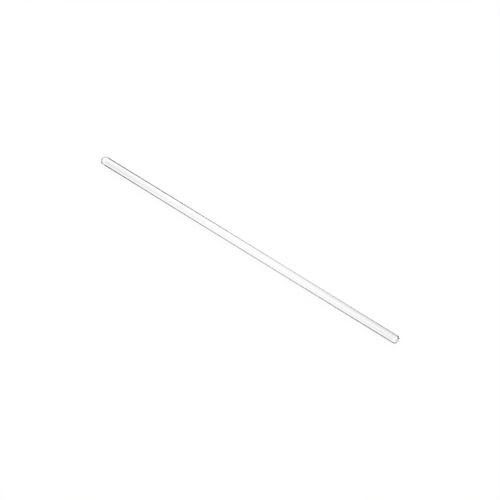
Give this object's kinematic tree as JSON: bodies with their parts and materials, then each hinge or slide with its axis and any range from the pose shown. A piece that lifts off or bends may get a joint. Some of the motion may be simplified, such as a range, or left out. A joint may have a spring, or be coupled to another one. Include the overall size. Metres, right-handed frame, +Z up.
{
  "type": "glass stirring rod",
  "caption": "Straight solid clear glass rod for stirring in lab vessels, with flame-rounded ends, one a dome and one flatter.",
  "frame": {"origin": "on the rod's axis, at the middle of its length", "axes": "+X along the axis towards the flatter end, +Z up as the rod lies level, -Y the side on which the domed end is longer"},
  "size_m": [0.3, 0.007, 0.007],
  "materials": {
    "clear_glass": "clear drawn glass with a fire-polished surface"
  },
  "bodies": {
    "root": {"rod": "clear_glass"}
  },
  "joints": []
}
